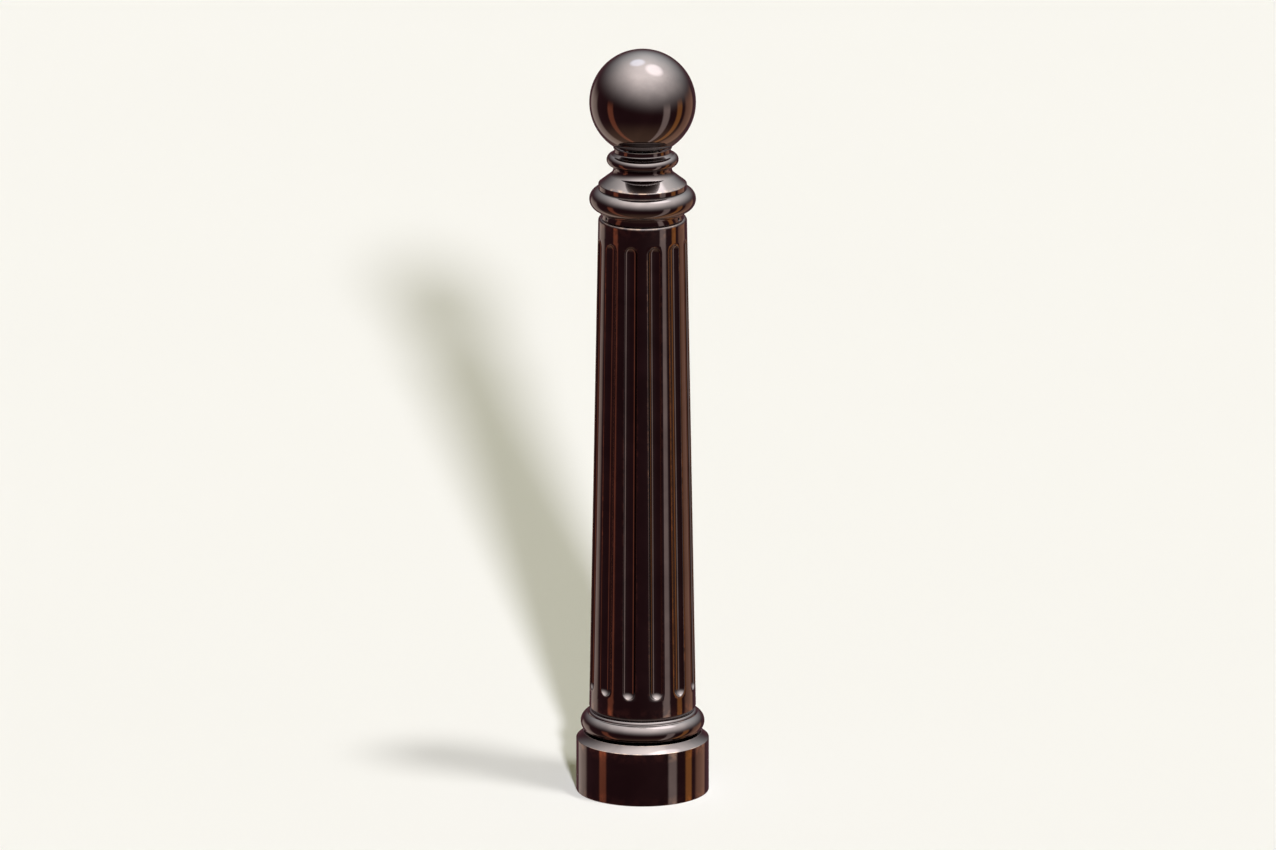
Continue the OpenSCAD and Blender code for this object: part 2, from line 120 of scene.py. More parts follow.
# A lathe: the outline is spun about the column's axis
def turned(name, outline, steps=160, closed=True):
    bm = bmesh.new()
    wearLayer = bm.verts.layers.float.new("wear")
    ring = []
    for radius, height, wear in outline:
        vert = bm.verts.new((radius * mm, 0, height * mm))
        vert[wearLayer] = wear
        ring.append(vert)
    pairs = list(zip(ring, ring[1:]))
    if closed:
        pairs.append((ring[-1], ring[0]))
    edges = [bm.edges.new(pair) for pair in pairs]
    bmesh.ops.spin(bm, geom=ring + edges, cent=(0, 0, 0), axis=(0, 0, 1), angle=fullTurn, steps=steps,
                   use_merge=True)
    return meshFrom(bm, name)


def drilled(mesh, name, drills):  # drills are (place, direction, radius, length) in metres
    body = bpy.data.objects.new(name + "Blank", mesh)
    bpy.context.scene.collection.objects.link(body)
    bm = bmesh.new()
    for place, direction, radius, length in drills:
        turn = direction.to_track_quat("Z", "Y").to_matrix().to_4x4()
        bmesh.ops.create_cone(bm, cap_ends=True, segments=32, radius1=radius, radius2=radius, depth=length,
                              matrix=Matrix.Translation(place) @ turn)
    cutterMesh = bpy.data.meshes.new(name + "Drills")
    bm.to_mesh(cutterMesh)
    bm.free()
    cutter = bpy.data.objects.new(name + "Drills", cutterMesh)
    bpy.context.scene.collection.objects.link(cutter)
    cut = body.modifiers.new("cut", "BOOLEAN")
    cut.object = cutter
    cut.solver = "EXACT"
    result = bpy.data.meshes.new_from_object(body.evaluated_get(bpy.context.evaluated_depsgraph_get()))
    result.name = name
    for spare in (body, cutter):
        bpy.data.objects.remove(spare)
    return result


# Materials

def fromHex(code):
    channels = [int(code[i:i + 2], 16) / 255 for i in (1, 3, 5)]
    return tuple(c / 12.92 if c <= 0.04045 else ((c + 0.055) / 1.055) ** 2.4 for c in channels) + (1,)


def add(tree, kind, settings=None, sockets=None):  # a socket takes a value, a hex colour or an output
    node = tree.nodes.new(kind)
    for key, value in (settings or {}).items():
        setattr(node, key, value)
    for key, value in (sockets or {}).items():
        if isinstance(value, bpy.types.NodeSocket):
            tree.links.new(value, node.inputs[key])
        elif isinstance(value, str):
            node.inputs[key].default_value = fromHex(value)
        else:
            node.inputs[key].default_value = value
    return node


def surface(name):
    material = bpy.data.materials.new(name)
    material.use_nodes = True
    tree = material.node_tree
    tree.nodes.clear()
    where = add(tree, "ShaderNodeTexCoord").outputs["Object"]
    return material, tree, where


def perMetre(size):  # a noise's scale from the size of one of its blotches in millimetres
    return 1 / (size * mm)


# Sockets 0, 6 and 7 are the factor and the two colours, and output 2 is the result
colourMix = {"data_type": "RGBA"}
colourProduct = {"data_type": "RGBA", "blend_type": "MULTIPLY"}

polish = dict(
    dark="#473936",         # the patina in the hollows
    light="#594b47",        # the same bronze where it is rubbed up
    rubbed="#b08c72",       # bare metal on the edges
    gloss=(0.04, 0.11),     # roughness from the best polish to the dullest
    lacquer=0.04,           # roughness of the clear coat
    blotch=46.0,            # mm across a patch of patina
    patina=(0.35, 0.7),     # noise levels between which the patina turns light
    nick=9.0,               # mm between the rubbed places along an edge
    nicks=(0.44, 0.62),     # noise levels between which an edge is rubbed
    rubbing=0.55,           # how far a rubbed edge goes towards bare metal
    smear=17.0,             # mm across a change in the gloss
    smears=(0.3, 0.72),     # noise levels between which the gloss falls off
    ripple=11.0,            # mm across the casting's fine ripple, coarser than real so that it shows
    rippleHigh=0.12,        # mm
    rippleShown=0.18,
)


def polishedBronze(name, along):  # lacquered dark bronze: a wine-brown mirror under a clear coat
    material, tree, where = surface(name)
    drawn = add(tree, "ShaderNodeMapping", None, {"Vector": where, "Scale": along}).outputs["Vector"]

    patina = add(tree, "ShaderNodeTexNoise", None,
                 {"Vector": where, "Scale": perMetre(polish["blotch"]), "Detail": 4.0, "Distortion": 0.6})
    rubbedUp = add(tree, "ShaderNodeMapRange", None,
                   {"Value": patina.outputs["Fac"], "From Min": polish["patina"][0],
                    "From Max": polish["patina"][1]})
    colour = add(tree, "ShaderNodeMix", colourMix,
                 {0: rubbedUp.outputs["Result"], 6: polish["dark"], 7: polish["light"]})

    edge = add(tree, "ShaderNodeAttribute", {"attribute_name": "wear"})
    nick = add(tree, "ShaderNodeTexNoise", None,
               {"Vector": where, "Scale": perMetre(polish["nick"]), "Detail": 5.0})
    rubbing = add(tree, "ShaderNodeMapRange", None,
                  {"Value": nick.outputs["Fac"], "From Min": polish["nicks"][0],
                   "From Max": polish["nicks"][1], "To Max": polish["rubbing"]})
    bare = add(tree, "ShaderNodeMath", {"operation": "MULTIPLY"},
               {0: edge.outputs["Fac"], 1: rubbing.outputs["Result"]})
    worn = add(tree, "ShaderNodeMix", colourMix,
               {0: bare.outputs[0], 6: colour.outputs[2], 7: polish["rubbed"]})

    smear = add(tree, "ShaderNodeTexNoise", None,
                {"Vector": drawn, "Scale": perMetre(polish["smear"]), "Detail": 5.0})
    gloss = add(tree, "ShaderNodeMapRange", None,
                {"Value": smear.outputs["Fac"], "From Min": polish["smears"][0],
                 "From Max": polish["smears"][1], "To Min": polish["gloss"][0], "To Max": polish["gloss"][1]})
    ripple = add(tree, "ShaderNodeTexNoise", None,
                 {"Vector": drawn, "Scale": perMetre(polish["ripple"]), "Detail": 2.0})
    relief = add(tree, "ShaderNodeBump", None,
                 {"Height": ripple.outputs["Fac"], "Strength": polish["rippleShown"],
                  "Distance": polish["rippleHigh"] * mm})
    shader = add(tree, "ShaderNodeBsdfPrincipled", None, {
        "Base Color": worn.outputs[2], "Roughness": gloss.outputs["Result"],
        "Normal": relief.outputs["Normal"], "Metallic": 1.0, "Coat Weight": 1.0,
        "Coat Roughness": polish["lacquer"],
    })
    add(tree, "ShaderNodeOutputMaterial", None, {"Surface": shader.outputs["BSDF"]})
    return material


zinc = dict(
    light="#a9adb0", dark="#84898e",  # the tones that the crystals lie between
    spangle=8.0,           # mm across a crystal
    gloss=(0.36, 0.56),    # roughness of the brightest and the dullest crystal
    metallic=0.9,          # the oxide takes a little of the metal away
    cloud=60.0,            # mm across a dull cloud
    clouds=(0.3, 0.7),     # noise levels between which a cloud fades
    cloudDark=0.72,        # how dark a cloud is
    pebble=2.2,            # mm across the dip's fine lumps
    pebbleHigh=0.15,       # mm
    pebbleShown=0.25,
)


def galvanised(name, tint=1.0):  # hot-dipped zinc: dull grey crystals, each at its own tone
    material, tree, where = surface(name)
    cells = add(tree, "ShaderNodeTexVoronoi", None, {"Vector": where, "Scale": perMetre(zinc["spangle"])})
    tone = add(tree, "ShaderNodeSeparateColor", None, {"Color": cells.outputs["Color"]}).outputs[0]
    colour = add(tree, "ShaderNodeMix", colourMix, {0: tone, 6: zinc["light"], 7: zinc["dark"]})
    cloud = add(tree, "ShaderNodeTexNoise", None,
                {"Vector": where, "Scale": perMetre(zinc["cloud"]), "Detail": 4.0})
    clouds = add(tree, "ShaderNodeMapRange", None,
                 {"Value": cloud.outputs["Fac"], "From Min": zinc["clouds"][0], "From Max": zinc["clouds"][1],
                  "To Min": zinc["cloudDark"] * tint, "To Max": tint})
    clouded = add(tree, "ShaderNodeMix", colourProduct,
                  {0: 1.0, 6: colour.outputs[2], 7: clouds.outputs["Result"]})
    dull = add(tree, "ShaderNodeMapRange", None,
               {"Value": tone, "To Min": zinc["gloss"][0], "To Max": zinc["gloss"][1]})
    pebble = add(tree, "ShaderNodeTexNoise", None,
                 {"Vector": where, "Scale": perMetre(zinc["pebble"]), "Detail": 4.0})
    relief = add(tree, "ShaderNodeBump", None,
                 {"Height": pebble.outputs["Fac"], "Strength": zinc["pebbleShown"],
                  "Distance": zinc["pebbleHigh"] * mm})
    shader = add(tree, "ShaderNodeBsdfPrincipled", None, {
        "Base Color": clouded.outputs[2], "Roughness": dull.outputs["Result"],
        "Normal": relief.outputs["Normal"], "Metallic": zinc["metallic"],
    })
    add(tree, "ShaderNodeOutputMaterial", None, {"Surface": shader.outputs["BSDF"]})
    return material


steel = dict(
    lay=3.2,               # mm between the tool's marks, coarser than real so that they show
    stretch=(1, 1, 6),     # the marks run round the piece
    layHigh=0.05,          # mm
    layShown=0.15,
    gloss=(0.75, 1.3),     # the roughness varies between these times its own
    stain=14.0,            # mm across a stain
    stains=(0.3, 0.7),     # noise levels between which a stain fades
    stainLight=0.2,        # what a stain keeps of the light tone
)


def machinedSteel(name, light, dark, roughness):  # turned or rolled steel with a fine lay
    material, tree, where = surface(name)
    about = add(tree, "ShaderNodeMapping", None, {"Vector": where, "Scale": steel["stretch"]})
    lay = add(tree, "ShaderNodeTexNoise", None,
              {"Vector": about.outputs["Vector"], "Scale": perMetre(steel["lay"]), "Detail": 3.0})
    stain = add(tree, "ShaderNodeTexNoise", None,
                {"Vector": where, "Scale": perMetre(steel["stain"]), "Detail": 4.0})
    stains = add(tree, "ShaderNodeMapRange", None,
                 {"Value": stain.outputs["Fac"], "From Min": steel["stains"][0],
                  "From Max": steel["stains"][1], "To Min": steel["stainLight"]})
    colour = add(tree, "ShaderNodeMix", colourMix, {0: stains.outputs["Result"], 6: dark, 7: light})
    dull = add(tree, "ShaderNodeMapRange", None,
               {"Value": lay.outputs["Fac"], "To Min": roughness * steel["gloss"][0],
                "To Max": roughness * steel["gloss"][1]})
    relief = add(tree, "ShaderNodeBump", None,
                 {"Height": lay.outputs["Fac"], "Strength": steel["layShown"],
                  "Distance": steel["layHigh"] * mm})
    shader = add(tree, "ShaderNodeBsdfPrincipled", None, {
        "Base Color": colour.outputs[2], "Roughness": dull.outputs["Result"],
        "Normal": relief.outputs["Normal"], "Metallic": 1.0,
    })
    add(tree, "ShaderNodeOutputMaterial", None, {"Surface": shader.outputs["BSDF"]})
    return material


# Sizes in mm: cloud and pebble are how far across they are, pebbleHigh how far the skin stands up
polyamide = dict(
    dark="#151516", light="#232324", ior=1.53, gloss=(0.42, 0.55),
    cloud=30.0, clouds=(0.3, 0.7), cloudDetail=4.0,
    pebble=0.9, pebbleDetail=2.0, pebbleHigh=0.05, pebbleShown=0.3,
)
epdm = dict(
    dark="#0f0f10", light="#2a2927", ior=1.5, gloss=(0.6, 0.85),
    cloud=12.0, clouds=(0.4, 0.75), cloudDetail=5.0,
    pebble=1.2, pebbleDetail=3.0, pebbleHigh=0.06, pebbleShown=0.3,
)


# Moulded black plastic or rubber: glass-filled nylon has a soft sheen, EPDM a dull grey bloom
def moulded(name, look):
    material, tree, where = surface(name)
    cloud = add(tree, "ShaderNodeTexNoise", None,
                {"Vector": where, "Scale": perMetre(look["cloud"]), "Detail": look["cloudDetail"]})
    clouds = add(tree, "ShaderNodeMapRange", None,
                 {"Value": cloud.outputs["Fac"], "From Min": look["clouds"][0],
                  "From Max": look["clouds"][1]})
    colour = add(tree, "ShaderNodeMix", colourMix,
                 {0: clouds.outputs["Result"], 6: look["dark"], 7: look["light"]})
    dull = add(tree, "ShaderNodeMapRange", None,
               {"Value": clouds.outputs["Result"], "To Min": look["gloss"][0], "To Max": look["gloss"][1]})
    pebble = add(tree, "ShaderNodeTexNoise", None,
                 {"Vector": where, "Scale": perMetre(look["pebble"]), "Detail": look["pebbleDetail"]})
    relief = add(tree, "ShaderNodeBump", None,
                 {"Height": pebble.outputs["Fac"], "Strength": look["pebbleShown"],
                  "Distance": look["pebbleHigh"] * mm})
    shader = add(tree, "ShaderNodeBsdfPrincipled", None, {
        "Base Color": colour.outputs[2], "Roughness": dull.outputs["Result"],
        "Normal": relief.outputs["Normal"], "IOR": look["ior"],
    })
    add(tree, "ShaderNodeOutputMaterial", None, {"Surface": shader.outputs["BSDF"]})
    return material


castBronze = polishedBronze("polishedBronzeCasting", (1, 1, 1))  # a deep, even mirror
drawnBronze = polishedBronze("polishedBronzeShaft", (1, 1, 0.12))  # streaked lengthways
dippedZinc = galvanised("galvanisedSteel")  # cloudy grey crystals
weldMetal = galvanised("galvanisedWeld", tint=0.62)  # the same, darker over the weld
platedNut = machinedSteel("zincPlatedNut", light="#c0c1bd", dark="#8d8e8c", roughness=0.3)  # bright, milky
stainless = machinedSteel("stainlessSteel", light="#bdb9b4", dark="#96928e", roughness=0.26)  # a clean shine
blackOxide = machinedSteel("blackOxideSteel", light="#2b2a2b", dark="#161516", roughness=0.34)  # a dim sheen
turnedSteel = machinedSteel("turnedSteel", light="#8b8783", dark="#6a6662", roughness=0.32)  # fine grey rings
nylon = moulded("mouldedNylon", polyamide)  # black with a soft sheen
rubber = moulded("epdmRubber", epdm)  # flat, with a grey bloom
print("stage: materials made")


# The plinth

plinthForm = dict(
    wall=7.0, deck=9.0, bore=49.06, shoulderIn=9.0, shoulderHigh=9.5, coveRadius=32.0, coveSteps=12,
    footRound=1.0, footWear=0.6, wallRound=0.7, wallWear=1.0, lipRound=0.6, lipWear=0.5,
    boreRound=0.8, insideRound=2.0, wallRings=(0.2, 0.5, 0.8),  # as shares of the wall's height
)


def makePlinth():
    form = plinthForm
    edge, height = round(halfWidth("plinth")), top("plinth")
    wallTop = height - form["shoulderHigh"]
    lip = edge - form["shoulderIn"]
    chord = math.hypot(form["shoulderIn"], form["shoulderHigh"])
    off = math.sqrt(form["coveRadius"] ** 2 - (chord / 2) ** 2)
    coveR = (edge + lip) / 2 + off * form["shoulderHigh"] / chord
    coveZ = (wallTop + height) / 2 + off * form["shoulderIn"] / chord
    first = math.degrees(math.atan2(wallTop - coveZ, edge - coveR)) % 360
    last = math.degrees(math.atan2(height - coveZ, lip - coveR)) % 360
    cove = arc(coveR, coveZ, form["coveRadius"], first, last, form["coveSteps"])
    inside, underDeck = edge - form["wall"], height - form["deck"]
    corners = [(inside, 0, form["footRound"]), (edge, 0, form["footRound"], form["footWear"])]
    corners += [(edge, wallTop * share) for share in form["wallRings"]]
    corners += [(edge, wallTop, form["wallRound"], form["wallWear"])]
    corners += [(r, z) for r, z, _ in cove[1:-1]]
    corners += [(lip, height, form["lipRound"], form["lipWear"]), (form["bore"], height, form["boreRound"]),
                (form["bore"], underDeck, form["boreRound"]), (inside, underDeck, form["insideRound"])]
    mesh = turned("plinthCasting", roundOff(corners))
    return finished(mesh, "plinthCasting", "cover", "plinth", castBronze)


# The base ring: a large bead, and a small one where the shaft stands

baseRingForm = dict(
    beadRadius=13.0, beadSteps=36, bore=49.06, boreRound=0.6,
    footBeadRadius=4.5, footBeadIn=67.4, footBeadDrop=0.5, footBeadEnd=88, footBeadSteps=16,
)


# The angles, on each of two circles (r, z, radius), of the outer point where they cross
def meeting(first, second):
    gap = math.hypot(second[0] - first[0], second[1] - first[1])
    along = (gap ** 2 + first[2] ** 2 - second[2] ** 2) / (2 * gap)
    out = math.sqrt(first[2] ** 2 - along ** 2)
    ur, uz = (second[0] - first[0]) / gap, (second[1] - first[1]) / gap
    r, z = first[0] + along * ur + out * uz, first[1] + along * uz - out * ur
    return [math.degrees(math.atan2(z - c[1], r - c[0])) for c in (first, second)]


def makeBaseRing():
    form = baseRingForm
    bottom, height = foot("base_ring"), top("base_ring")
    beadIn = halfWidth("base_ring") - form["beadRadius"]
    bead = (beadIn, bottom + form["beadRadius"], form["beadRadius"])
    smallZ = height - form["footBeadDrop"] - form["footBeadRadius"]
    small = (form["footBeadIn"], smallZ, form["footBeadRadius"])
    leave, enter = meeting(bead, small)
    outline = arc(*bead, -90, leave, form["beadSteps"])
    outline += arc(*small, enter, form["footBeadEnd"], form["footBeadSteps"])
    outline += roundOff([(form["footBeadIn"], height), (form["bore"], height, form["boreRound"]),
                         (form["bore"], bottom, form["boreRound"])])
    mesh = turned("baseRingCasting", outline)
    return finished(mesh, "baseRingCasting", "cover", "base_ring", castBronze)


# The fluted shaft

shaftForm = dict(
    flutes=12, cutter=10.5, depth=6.0, lowMargin=28.5, highMargin=26.4,  # mm
    edgeRound=0.8, edgeWear=0.8, footRadius=70.0, headRadius=57.9, wall=10.0, bore=49.06,
    footChamfer=2.8, footChamferHigh=4.2, footRound=0.6, chamferRound=0.8, chamferWear=0.8,
    headRound=4.4, headWear=0.6, headSteps=8,
    upstand=14.0, upstandRadius=49.0, webBore=36.0, web=24.0, flange=24.0,
    arcSteps=16, rings=9, innerRing=0.25, spokes=3, lengths=8, searchSteps=12,
    seam=0.01,  # mm, points nearer than this are joined where sectors meet
    apart=0.001,  # mm, keeps new points off the old ones until they are wrapped
)


# One sector, drawn flat as (across, 0, up), then wrapped on the cone
def fluteSheet(bm, form, lowEnd, highEnd, coneRadius):
    proud = form["cutter"] - form["depth"]
    mouth = math.sqrt(form["cutter"] ** 2 - proud ** 2)
    half = math.pi / form["flutes"]
    steps = form["arcSteps"]

    def fall(distance):  # how far the flute's floor lies below the cone's middle line
        return math.sqrt(max(form["cutter"] ** 2 - distance ** 2, 0)) - proud

    outline = [(mouth, math.pi * k / steps, highEnd) for k in range(steps + 1)]
    outline += [(mouth, math.pi + math.pi * k / steps, lowEnd) for k in range(steps + 1)]
    verts = [bm.verts.new((d * math.cos(a), 0, end + d * math.sin(a))) for d, a, end in outline]
    face = bm.faces.new(verts)
    rim = list(face.edges)
    widest = math.asin(mouth / form["cutter"])
    distances = [form["cutter"] * math.sin(widest * (1 - k / form["rings"])) for k in range(form["rings"])]
    distances.append(form["innerRing"])
    flatSide = math.cos(math.pi / steps / 2)
    for wide, narrow in zip(distances, distances[1:]):
        step = (wide - narrow) * flatSide
        bmesh.ops.inset_individual(bm, faces=[face], thickness=step, use_even_offset=True)
    inner = set(bm.verts)

    edges = rim
    target = {}
    for vert, (d, a, end) in zip(verts, outline):
        radius = coneRadius(end)
        width = radius * half
        c, s = math.cos(a), math.sin(a)
        if abs(s) <= abs(c) * 1.0001:  # nearer a side of the sector than an end, or on the diagonal
            target[vert] = (math.copysign(half, c), end + width * s / abs(c))
        else:
            target[vert] = (half * c / abs(s), end + math.copysign(width, s))
    source = {vert: vert for vert in verts}
    place = {}
    for ring in range(1, form["spokes"] + 1):
        made = bmesh.ops.extrude_edge_only(bm, edges=edges)["geom"]
        newVerts = [g for g in made if isinstance(g, bmesh.types.BMVert)]
        byPlace = {vert.co.to_tuple(): root for vert, root in source.items()}
        following = {vert: byPlace[vert.co.to_tuple()] for vert in newVerts}
        for vert, root in following.items():
            share = ring / form["spokes"]
            rootAngle = math.asin(root.co.x / coneRadius(root.co.z))
            goalAngle, goalZ = target[root]
            place[vert] = (rootAngle + (goalAngle - rootAngle) * share,
                           root.co.z + (goalZ - root.co.z) * share)
            shift = form["apart"] * ring
            vert.co = (root.co.x + shift, shift, root.co.z)
        source = following
        madeEdges = [g for g in made if isinstance(g, bmesh.types.BMEdge)]
        edges = [e for e in madeEdges if all(v in following for v in e.verts)]

    def onCone(angle, z):
        r = coneRadius(z)
        return Vector((r * math.cos(angle), r * math.sin(angle), z))

    wrapped = {}
    for vert in inner:
        across, z = vert.co.x, vert.co.z
        end = min(max(z, lowEnd), highEnd)
        distance = math.hypot(across, z - end)
        share = 1.0
        if distance > 0:
            reach = mouth  # where the cutter breaks out of the cone, found by stepping
            for _ in range(form["searchSteps"]):
                sag = coneRadius(end) - math.sqrt(coneRadius(end) ** 2 - (reach * across / distance) ** 2)
                reach = math.sqrt(max(form["cutter"] ** 2 - (proud + sag) ** 2, 0))
            share = reach / mouth
        u, dz = across * share, (z - end) * share
        depth = fall(distance * share)
        wrapped[vert] = Vector((coneRadius(end + dz) - depth, u, end + dz))
    for vert, (angle, z) in place.items():
        wrapped[vert] = onCone(angle, z)
    for vert, spot in wrapped.items():
        vert.co = spot
    return rim


def makeShaft():
    form = shaftForm
    bottom = foot("fluted_shaft")
    height = top("fluted_shaft") - form["upstand"]
    proud = form["cutter"] - form["depth"]
    mouth = math.sqrt(form["cutter"] ** 2 - proud ** 2)
    lowEnd = bottom + form["lowMargin"] + mouth
    highEnd = height - form["highMargin"] - mouth

    def coneRadius(z):
        taper = (form["footRadius"] - form["headRadius"]) / (height - bottom)
        return form["footRadius"] - (z - bottom) * taper

    bm = bmesh.new()
    wearLayer = bm.verts.layers.float.new("wear")
    rim = fluteSheet(bm, form, lowEnd, highEnd, coneRadius)
    for vert in {v for e in rim for v in e.verts}:
        vert[wearLayer] = form["edgeWear"]
    bmesh.ops.bevel(bm, geom=rim, offset=form["edgeRound"], segments=3, profile=0.5, affect="EDGES",
                    material=-1, clamp_overlap=True)
    for k in range(1, form["lengths"]):
        level = lowEnd + (highEnd - lowEnd) * k / form["lengths"]
        everything = bm.verts[:] + bm.edges[:] + bm.faces[:]
        bmesh.ops.bisect_plane(bm, geom=everything, plane_co=(0, 0, level), plane_no=(0, 0, 1))
    sector = bm.verts[:] + bm.edges[:] + bm.faces[:]
    turnBy = Matrix.Rotation(fullTurn / form["flutes"] / 2, 3, "Z")
    bmesh.ops.rotate(bm, verts=bm.verts, cent=(0, 0, 0), matrix=turnBy)
    for k in range(1, form["flutes"]):
        copy = bmesh.ops.duplicate(bm, geom=sector)["geom"]
        turnBy = Matrix.Rotation(fullTurn * k / form["flutes"], 3, "Z")
        copied = [g for g in copy if isinstance(g, bmesh.types.BMVert)]
        bmesh.ops.rotate(bm, verts=copied, cent=(0, 0, 0), matrix=turnBy)
    bmesh.ops.remove_doubles(bm, verts=bm.verts, dist=form["seam"])

    webFoot = height - form["web"]
    flangeTop = bottom + form["flange"]
    chamferTop = bottom + form["footChamferHigh"]
    # The flutes' ends only give the two roundings their direction
    outerTop = roundOff([(coneRadius(highEnd), highEnd),
                         (form["headRadius"], height, form["headRound"], form["headWear"]),
                         (form["upstandRadius"], height)], form["headSteps"])[1:]
    inside = [(form["upstandRadius"], height + form["upstand"]), (form["webBore"], height + form["upstand"]),
              (form["webBore"], webFoot), (coneRadius(webFoot) - form["wall"], webFoot),
              (coneRadius(flangeTop) - form["wall"], flangeTop), (form["bore"], flangeTop),
              (form["bore"], bottom)]
    outerFoot = roundOff([(form["bore"], bottom),
                          (form["footRadius"] - form["footChamfer"], bottom, form["footRound"]),
                          (coneRadius(chamferTop), chamferTop, form["chamferRound"], form["chamferWear"]),
                          (coneRadius(lowEnd), lowEnd)])[1:-1]
    path = outerTop + [(r, z, 0.0) for r, z in inside] + outerFoot
    openEdges = [e for e in bm.edges if e.is_boundary]
    middle = (lowEnd + highEnd) / 2
    footLoop = [e for e in openEdges if e.verts[0].co.z < middle]
    loop = [e for e in openEdges if e.verts[0].co.z > middle]
    for radius, z, wear in path:
        made = bmesh.ops.extrude_edge_only(bm, edges=loop)["geom"]
        for vert in [g for g in made if isinstance(g, bmesh.types.BMVert)]:
            flat = Vector((vert.co.x, vert.co.y)).normalized() * radius
            vert.co = (flat.x, flat.y, z)
            vert[wearLayer] = wear
        loop = [g for g in made if isinstance(g, bmesh.types.BMEdge) and g.is_boundary]
    bmesh.ops.bridge_loops(bm, edges=loop + footLoop)
    bmesh.ops.scale(bm, vec=(mm, mm, mm), verts=bm.verts)
    mesh = meshFrom(bm, "flutedShaftCasting")
    return finished(mesh, "flutedShaftCasting", "cover", "fluted_shaft", drawnBronze)


# The capital ring, with three grub screw holes in its shaded neck

capitalForm = dict(
    beadRadius=14.5, beadSteps=40, neck=54.5, neckHigh=7.5, neckRound=0.6, filletOut=2.5, filletRound=0.7,
    socket=49.2, socketHigh=14.3, socketRound=0.4, bore=36.0, boreRound=0.8, innerRound=0.6,
    grubs=3, grubHole=2.6, grubFirst=90, drill=16.0,
    guide=2.0,  # mm from the fillet up to a point that only gives two roundings their direction
)


def makeCapital():
    form = capitalForm
    bottom, height = foot("capital_ring"), top("capital_ring")
    beadIn = halfWidth("capital_ring") - form["beadRadius"]
    beadZ = height - form["beadRadius"]
    filletR = form["neck"] + form["filletOut"]
    filletZ = bottom + form["neckHigh"]
    first = -math.degrees(math.acos((filletR - beadIn) / form["beadRadius"]))
    lower = roundOff([(form["socket"], bottom, form["socketRound"]),
                      (form["neck"], bottom, form["neckRound"]), (form["neck"], filletZ),
                      (filletR, filletZ, form["filletRound"]), (filletR, filletZ + form["guide"])])[:-1]
    bead = arc(beadIn, beadZ, form["beadRadius"], first, 90, form["beadSteps"])
    socketTop = bottom + form["socketHigh"]
    inner = roundOff([(form["bore"], height, form["boreRound"]),
                      (form["bore"], socketTop, form["innerRound"]), (form["socket"], socketTop)])
    mesh = turned("capitalRingCasting", lower + bead + inner)
    drills = []
    for k in range(form["grubs"]):
        a = math.radians(form["grubFirst"]) + fullTurn * k / form["grubs"]
        out = Vector((math.cos(a), math.sin(a), 0))
        place = out * form["neck"] + Vector((0, 0, bottom + form["neckHigh"] / 2))
        drills.append((place * mm, out, form["grubHole"] * mm, form["drill"] * mm))
    mesh = drilled(mesh, "capitalRingCasting", drills)
    return finished(mesh, "capitalRingCasting", "cover", "capital_ring", castBronze)


# The neck collar: rim, bell, small bead, neck and lip

collarForm = dict(
    rim=57.8, rimHigh=6.5, rimRound=1.8, rimWear=0.9, rimFootRound=0.5,
    rimWorn=0.25,  # how far the rubbing runs in from the rim, as a share of the skirt
    slope=38.0, coveRadius=11.0, bellSteps=24, throat=38.2, beadRadius=7.5, beadOut=47.0, beadSteps=30,
    neck=37.0, neckHigh=15.5, flare=3.5, flareRound=2.5, lipHigh=2.5, lipOut=1.4, lipWear=0.5, lipSteps=10,
    seatBore=18.0, seatRound=0.6, rodHole=9.0, holeRound=0.5, web=8.0, hollow=28.0, hollowRound=1.5,
    spigot=35.8, spigotHigh=16.0, spigotRound=0.8, outerSteps=6,
)


def makeCollar():
    form = collarForm
    height = top("neck_collar")
    base = foot("neck_collar") + form["spigotHigh"]
    rimTop = base + form["rimHigh"]
    slope = math.radians(form["slope"])
    coveR = form["throat"] + form["coveRadius"]
    coveZ = rimTop + (form["coveRadius"] - (coveR - form["rim"]) * math.sin(slope)) / math.cos(slope)
    beadZ = height - form["lipHigh"] - form["neckHigh"]
    beadIn = form["beadOut"] - form["beadRadius"]
    bell = arc(coveR, coveZ, form["coveRadius"], 270 - form["slope"], 180, form["bellSteps"])
    unworn = Vector((form["rim"], rimTop)).lerp(Vector(bell[0][:2]), form["rimWorn"])
    spigotFoot = base - form["spigotHigh"]
    lower = roundOff([(form["spigot"], spigotFoot, form["spigotRound"]), (form["spigot"], base),
                      (form["rim"], base, form["rimFootRound"]),
                      (form["rim"], rimTop, form["rimRound"], form["rimWear"]), unworn, bell[0]],
                     form["outerSteps"])[:-1]
    flareR = form["neck"] + form["flare"]
    beadEnd = math.degrees(math.acos((flareR - beadIn) / form["beadRadius"]))
    bead = arc(beadIn, beadZ, form["beadRadius"], -90, beadEnd, form["beadSteps"])
    flareZ = bead[-1][1]
    neck = roundOff([(flareR, flareZ), (form["neck"], flareZ + form["flare"], form["flareRound"]),
                     (form["neck"], height - form["lipHigh"])])
    lipR = form["neck"] + form["lipOut"] - form["lipHigh"] / 2
    lipZ = height - form["lipHigh"] / 2
    lip = arc(lipR, lipZ, form["lipHigh"] / 2, -90, 90, form["lipSteps"], form["lipWear"])
    webTop = beadZ - form["beadRadius"]
    webFoot = webTop - form["web"]
    inner = roundOff([(form["seatBore"], height, form["seatRound"]), (form["seatBore"], webTop),
                      (form["rodHole"], webTop, form["holeRound"]),
                      (form["rodHole"], webFoot, form["holeRound"]),
                      (form["hollow"], webFoot, form["hollowRound"]),
                      (form["hollow"], spigotFoot, form["spigotRound"])])
    mesh = turned("neckCollarCasting", lower + bell + bead + neck[1:] + lip + inner)
    return finished(mesh, "neckCollarCasting", "cover", "neck_collar", castBronze)


# The ball

ballForm = dict(shell=3.5, plate=36.0, steps=192, outerSteps=96, innerSteps=48)


